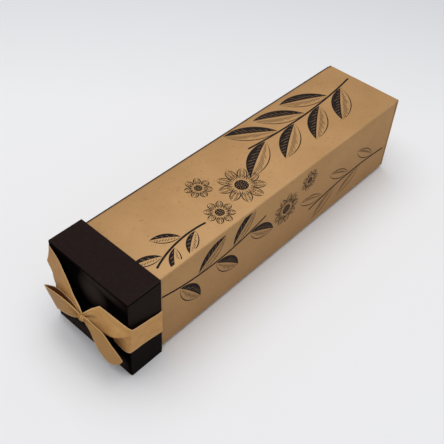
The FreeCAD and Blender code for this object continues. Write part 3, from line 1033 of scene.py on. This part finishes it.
    def wrap_knot(self, cloth: Cloth) -> None:
        """Add the ribbon's tight wrap over the crossing, as a ring drawn into lengthwise folds.

        Args:
            cloth: The mesh in the making.
        """
        base, around, along = len(cloth.points), self.knot_around, self.knot_along
        centre = Vector((KNOT_X_MM, LID_END_MM - KNOT_OFF_MM, KNOT_Z_MM))
        tilt = Matrix.Rotation(math.radians(self.knot_tilt), 3, "Y")
        for row in range(along + 1):
            share = row / along * 2 - 1
            waist = (1 - abs(share) ** 3.2) ** (1 / 2.4) if abs(share) < 1 else 0.0
            for step in range(around):
                angle = math.tau * step / around
                wave = math.cos(5 * math.pi * share + 0.8 * math.sin(angle))
                reach = waist * (1 + self.knot_crease * wave)
                sides = (share, math.cos(angle) * reach, math.sin(angle) * reach)
                place = Vector([size * side for size, side in zip(self.knot_size_mm, sides)])
                cloth.points.append(centre + tilt @ place)
        for row in range(along):
            for step in range(around):
                after = (step + 1) % around
                a, b = base + row * around, base + (row + 1) * around
                u, v = row / along, step / around * 3
                next_u, next_v = u + 1 / along, v + 0.07
                cloth.face((a + step, a + after, b + after, b + step),
                           [(u, v), (u, next_v), (next_u, next_v), (next_u, v)])


def polar(centre: Pair, reach: float, angle: float) -> Pair:
    """Place at a distance from a centre, in a direction given in radians."""
    return centre[0] + reach * math.cos(angle), centre[1] + reach * math.sin(angle)


@dataclass
class Sprig:
    """A curved stem with leaves on alternate sides, in millimetres along and across a face."""

    start: Pair
    heading: float
    bend: float
    step: float
    leaves: int
    leaf: float
    leaf_width: float
    leaf_angle: float
    dark: bool

    def angle(self, distance: float) -> float:
        """Direction of the stem, in radians, at a distance along it."""
        return math.radians(self.heading + self.bend * distance / (self.step * (self.leaves + 1)))

    def point(self, distance: float, aside: float) -> Pair:
        """Find a place beside the stem.

        Args:
            distance: How far along the stem.
            aside: How far to its left.

        Returns:
            The place along and across the face.
        """
        radius = self.step * (self.leaves + 1) / math.radians(self.bend)
        here, first = self.angle(distance), self.angle(0)
        along = self.start[0] + radius * (math.sin(here) - math.sin(first))
        across = self.start[1] - radius * (math.cos(here) - math.cos(first))
        return polar((along, across), aside, here + math.pi / 2)

    def blades(self) -> list[Blade]:
        """Lay out every leaf of the sprig.

        Returns:
            The leaves, from the foot of the stem to its tip.
        """
        found = []
        for index in range(self.leaves):
            side = 1 if index % 2 else -1
            distance = self.step * (index + 1)
            direction = self.angle(distance) + side * math.radians(self.leaf_angle)
            foot = self.point(distance, side * 1.7)
            found.append(Blade(foot, direction, self.leaf, self.leaf_width, self.dark))
        return found


@dataclass
class Flower:
    """A ring of outlined petals round a dark disc, in millimetres."""

    centre: Pair
    radius: float
    petals: int
    disc: float

    def blades(self) -> list[Blade]:
        """Lay out every petal of the flower.

        Returns:
            The petals, once round the disc.
        """
        found, base = [], self.disc + 0.8
        width = 1.25 * self.radius * math.sin(math.pi / self.petals)
        for index in range(self.petals):
            angle = math.tau * index / self.petals
            start = polar(self.centre, base, angle)
            found.append(Blade(start, angle, self.radius - base, width, False))
        return found


@dataclass
class Blade:
    """One leaf or petal, as a pair of arcs from its base to its tip."""

    base: Pair
    direction: float
    length: float
    width: float
    dark: bool

    def half_width(self, share: float) -> float:
        """Distance from the midrib to the margin, a share of the way to the tip."""
        return self.width / 2 * 4 * share * (1 - share)

    def place(self, share: float, aside: float) -> Pair:
        """Place a share of the way to the tip, and a distance beside the midrib."""
        rib = polar(self.base, self.length * share, self.direction)
        return polar(rib, aside, self.direction + math.pi / 2)


@dataclass
class Stroke:
    """One pen stroke, in millimetres along and across a face."""

    centre: Pair
    angle: float
    length: float
    width: float


@dataclass
class EngravedPrint:
    """Fine strokes that finish the printed sprigs and flowers of one face of the carton."""

    name: str
    motifs: list[Sprig | Flower]
    low: float
    high: float
    place: Matrix
    seed: int
    dark_width: float = 0.6
    bare_width: float = 0.24
    seed_width: float = 0.55
    stroke_sides: int = 6

    def strokes(self) -> tuple[list[Stroke], list[Stroke]]:
        """Work out every stroke.

        Returns:
            The dark strokes on bare board, and the bare strokes across dark ink.
        """
        rng = random.Random(self.seed)
        dark: list[Stroke] = []
        bare: list[Stroke] = []
        for motif in self.motifs:
            for blade in motif.blades():
                self.veins(blade, rng, dark, bare)
            if isinstance(motif, Flower):
                self.shade_flower(motif, rng, dark, bare)
        return [s for s in dark if self.inside(s)], [s for s in bare if self.inside(s)]

    def inside(self, stroke: Stroke) -> bool:
        """Tell whether a stroke lies on the flat part of its face.

        Args:
            stroke: The stroke.

        Returns:
            True where it does.
        """
        reach = stroke.length / 2
        along, across = stroke.centre
        return (LID_RIM_MM + reach < along < PRINT_END_MM - reach
                and self.low + reach < across < self.high - reach)

    def veins(self, blade: Blade, rng: random.Random, dark: list[Stroke],
              bare: list[Stroke]) -> None:
        """Add the side veins of one leaf or the hatching of one petal.

        Args:
            blade: The leaf or petal.
            rng: Source of the random numbers.
            dark: The dark strokes so far.
            bare: The bare strokes so far.
        """
        count = max(3, round(blade.length / (2.2 if blade.dark else 1.5)))
        for index in range(1, count):
            share = index / count
            margin = blade.half_width(share)
            reach = (margin - 0.9) * rng.uniform(0.55, 0.92)
            if reach < 0.8:
                continue
            for side in (1, -1):
                light = side > 0 and blade.dark
                if light and index % 2 or side > 0 and not blade.dark and blade.width > 9:
                    continue
                slant = side * math.radians(rng.uniform(38, 46))
                aside = side * (0.5 * reach + (0.9 if light else 0.3))
                middle = blade.place(share + reach * 0.35 / blade.length, aside)
                width = self.bare_width if light else self.dark_width
                stroke = Stroke(middle, blade.direction + slant, reach * 1.25, width)
                (bare if light else dark).append(stroke)

    def shade_flower(self, flower: Flower, rng: random.Random, dark: list[Stroke],
                     bare: list[Stroke]) -> None:
        """Add the seeds of a flower's disc and the dark strokes at the foot of its petals.

        Args:
            flower: The flower.
            rng: Source of the random numbers.
            dark: The dark strokes so far.
            bare: The bare strokes so far.
        """
        for petal in flower.blades():
            for aside in (-0.24, -0.08, 0.08, 0.24):
                centre = petal.place(0.30 - abs(aside) / 4, aside * petal.width)
                length = petal.length * rng.uniform(0.32, 0.46)
                dark.append(Stroke(centre, petal.direction, length, self.seed_width))
        seeds = flower.disc * 5
        for index in range(round(seeds)):
            angle = index * GOLDEN_ANGLE
            centre = polar(flower.centre, flower.disc * 0.88 * math.sqrt(index / seeds), angle)
            bare.append(Stroke(centre, angle, rng.uniform(0.6, 0.8), self.seed_width))

    def make(self, kind: str, strokes: list[Stroke], height_mm: float, finish: Material) -> Object:
        """Lay the strokes on the face as thin raised marks.

        Args:
            kind: Last part of the piece's name.
            strokes: The strokes to lay.
            height_mm: How far the marks stand off the board.
            finish: Material of the marks.

        Returns:
            The finished piece.
        """
        mesh = bpy.data.meshes.new(f"{self.name}_{kind}_points")
        centres, turns, sizes = [], [], []
        for stroke in strokes:
            centres.append((self.place @ Vector((*stroke.centre, 0.0))) * MM)
            flat = Matrix.Rotation(stroke.angle, 3, "Z")
            turns.append((self.place.to_3x3() @ flat).to_euler())
            sizes.append((stroke.length / 2 * MM, stroke.width / 2 * MM, height_mm * MM))
        mesh.from_pydata(centres, [], [])
        for name, values in (("turn", turns), ("size", sizes)):
            attribute = mesh.attributes.new(name, "FLOAT_VECTOR", "POINT")
            for item, value in zip(attribute.data, values):
                item.vector = value
        points = link(f"{self.name}_{kind}", mesh)
        modifier = points.modifiers.new("strokes", "NODES")
        modifier.node_group = self.tree(finish)
        for socket in modifier.node_group.interface.items_tree:
            if socket.name == "Stroke Sides":
                modifier[socket.identifier] = self.stroke_sides
        return settle(points)

    def tree(self, finish: Material) -> NodeTree:
        """Build the tree that lays one stroke on each point.

        Args:
            finish: Material of the strokes.

        Returns:
            The tree, with the sides of a stroke as an input.
        """
        tree = bpy.data.node_groups.new(f"{self.name}_strokes", "GeometryNodeTree")
        tree.interface.new_socket("Geometry", in_out="INPUT", socket_type="NodeSocketGeometry")
        tree.interface.new_socket("Stroke Sides", in_out="INPUT", socket_type="NodeSocketInt")
        tree.interface.new_socket("Geometry", in_out="OUTPUT", socket_type="NodeSocketGeometry")
        bench = NodeBench(tree)
        source = bench.add("NodeGroupInput")
        mark = bench.add("GeometryNodeMeshCylinder", Radius=1.0, Depth=2.0,
                         Vertices=source.outputs["Stroke Sides"])
        turn, size = (
            bench.add("GeometryNodeInputNamedAttribute", {"data_type": "FLOAT_VECTOR"}, Name=name)
            for name in ("turn", "size")
        )
        spread = bench.add("GeometryNodeInstanceOnPoints", Points=source.outputs["Geometry"],
                           Instance=mark.outputs["Mesh"], Rotation=turn.outputs["Attribute"],
                           Scale=size.outputs["Attribute"])
        real = bench.add("GeometryNodeRealizeInstances", Geometry=spread.outputs["Instances"])
        dressed = bench.add("GeometryNodeSetMaterial", Geometry=real.outputs["Geometry"],
                            Material=finish)
        bench.add("NodeGroupOutput", Geometry=dressed.outputs["Geometry"])
        return tree


def settle(piece: Object) -> Object:
    """Turn a piece's modifiers into a plain mesh.

    Args:
        piece: The piece with its modifiers.

    Returns:
        The same piece without them.
    """
    graph = bpy.context.evaluated_depsgraph_get()
    mesh = bpy.data.meshes.new_from_object(piece.evaluated_get(graph))
    mesh.name = piece.name
    piece.modifiers.clear()
    piece.data = mesh
    return piece


def dress(piece: Object, material: Material) -> None:
    """Give a piece one material."""
    piece.data.materials.clear()
    piece.data.materials.append(material)


@dataclass
class Studio:
    """Pale sweep, soft lamps and the camera."""

    floor_colour: tuple = (0.88, 0.882, 0.896, 1.0)
    far_shade_colour: tuple = (0.70, 0.705, 0.735, 1.0)
    floor_reach: float = 6.0
    away: tuple = (-0.636, 0.772, 0.0)
    far: tuple = (0.30, 0.75)
    sky_colour: tuple = (0.97, 0.98, 1.0, 1.0)
    sky_strength: float = 0.36
    sky_seen: float = 0.85
    target: tuple = (0.0, 0.12, 0.04)
    camera_place: tuple = (0.2818, -0.2113, 0.4764)
    right: tuple = (0.73734, 0.67361, 0.05080)
    down: tuple = (0.50457, -0.49918, -0.70443)
    forward: tuple = (-0.44915, 0.54504, -0.70795)
    lens: float = 58.59

    def make(self) -> None:
        """Set up the floor, the world, the lamps and the camera."""
        self.floor()
        self.world()
        self.lamp("key", (-0.15, 0.10, 1.5), 1.75, 18.1)
        self.lamp("side", (1.2, 0.15, 0.55), 0.9, 1.0)
        self.camera()

    def floor(self) -> None:
        """Lay the pale floor that the box lies on, with painted shade that darkens it towards the
        far side.
        """
        mesh, reach = bpy.data.meshes.new("studio_floor"), self.floor_reach
        corners = [(-reach, -reach, 0), (reach, -reach, 0), (reach, reach, 0), (-reach, reach, 0)]
        mesh.from_pydata(corners, [], [(0, 1, 2, 3)])
        floor = link("studio_floor", mesh)
        finish = Finish("studio_floor")
        # painted shade: the floor darkens away from the camera, towards the back
        away = finish.math("DOT_PRODUCT", finish.place, self.away, "ShaderNodeVectorMath")
        tone = finish.mix(away.ramp(*self.far), self.floor_colour, self.far_shade_colour)
        dress(floor, finish.done(tone, 0.9, 0.0))

    def world(self) -> None:
        """Light the scene evenly from all round."""
        world = bpy.data.worlds.new("studio")
        bpy.context.scene.world = world
        world.use_nodes = True
        background = world.node_tree.nodes["Background"]
        background.inputs["Color"].default_value = self.sky_colour
        bench = NodeBench(world.node_tree)
        rays = bench.add("ShaderNodeLightPath").outputs
        seen = bench.math("MAXIMUM", rays["Is Camera Ray"], rays["Is Glossy Ray"])
        strength = seen * (self.sky_seen - self.sky_strength) + self.sky_strength
        bench.feed(background.inputs["Strength"], strength)

    def lamp(self, name: str, place: tuple, size: float, power: float) -> None:
        """Add a soft round lamp that faces the box.

        Args:
            name: Last part of the lamp's name.
            place: Where it hangs, in metres.
            size: Its diameter in metres.
            power: Its power in watts.
        """
        data = bpy.data.lights.new(f"lamp_{name}", "AREA")
        data.shape = "DISK"
        data.size = size
        data.energy = power
        lamp = link(f"lamp_{name}", data)
        turn = (Vector(self.target) - Vector(place)).to_track_quat("-Z", "Y")
        lamp.matrix_world = Matrix.Translation(place) @ turn.to_matrix().to_4x4()

    def camera(self) -> None:
        """Place the camera where the photograph was taken from."""
        data = bpy.data.cameras.new("camera")
        data.lens = self.lens
        data.sensor_width = 36.0
        camera = link("camera", data)
        turn = Matrix((Vector(self.right), -Vector(self.down), -Vector(self.forward)))
        place = Matrix.Translation(self.camera_place)
        camera.matrix_world = place @ turn.transposed().to_4x4()
        bpy.context.scene.camera = camera


TOP_PRINT = [
    Sprig((324, -14), 171, 16, 19, 7, 50, 19, 31, True),
    Sprig((82, 24), 190, -34, 12, 4, 24, 10, 38, True),
    Flower((134, 15), 21, 9, 6),
    Flower((98, 24), 13, 8, 4),
    Flower((106, -7), 12, 7, 3.5),
]

RIGHT_PRINT = [
    Sprig((19, 62), -16, 34, 20, 5, 36, 16, 40, True),
    Sprig((322, 30), 172, 20, 20, 5, 38, 11, 28, False),
    Flower((166, 52), 17, 9, 5),
    Flower((196, 66), 11, 7, 3.5),
]


def main() -> None:
    """Build and dress every piece."""
    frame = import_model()
    bpy.context.scene.view_settings.view_transform = "Standard"
    Studio().make()
    board, card = KraftBoard().build(), BlackCard().build()
    satin, ink = Satin().build(), PrintInk().build()
    finishes = {"carton": board, "lid": card, "print_top": ink, "print_right": ink}
    for node, material in finishes.items():
        dress(frame["nodes"][node], material)
        LOG.info("dressed %s", node)
    ribbon = RibbonBow().make()
    dress(ribbon, satin)
    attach(ribbon, Body.LID.value)
    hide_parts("ribbon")
    LOG.info("tied the ribbon: %d faces", len(ribbon.data.polygons))
    top = Matrix(((0, 1, 0, 0), (1, 0, 0, 0), (0, 0, -1, CARTON_TOP_MM), (0, 0, 0, 1)))
    side = Matrix(((0, 0, 1, HALF_CARTON_MM), (1, 0, 0, 0), (0, 1, 0, 0), (0, 0, 0, 1)))
    faces = [
        EngravedPrint("engraving_top", TOP_PRINT, -37.5, 37.5, top, 11),
        EngravedPrint("engraving_right", RIGHT_PRINT, CARTON_LOW_MM + 3, CARTON_TOP_MM - 3,
                      side, 12),
    ]
    for face in faces:
        dark, bare = face.strokes()
        for kind, strokes, height, material, slot in (
            ("strokes", dark, 0.05, ink, Slot.INK),
            ("lights", bare, 0.09, board, Slot.BOARD),
        ):
            piece = face.make(kind, strokes, height, material)
            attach(piece, Body.CARTON.value)
            LOG.info("laid %s: %d strokes", piece.name, len(strokes))


if __name__ == "__main__":
    main()
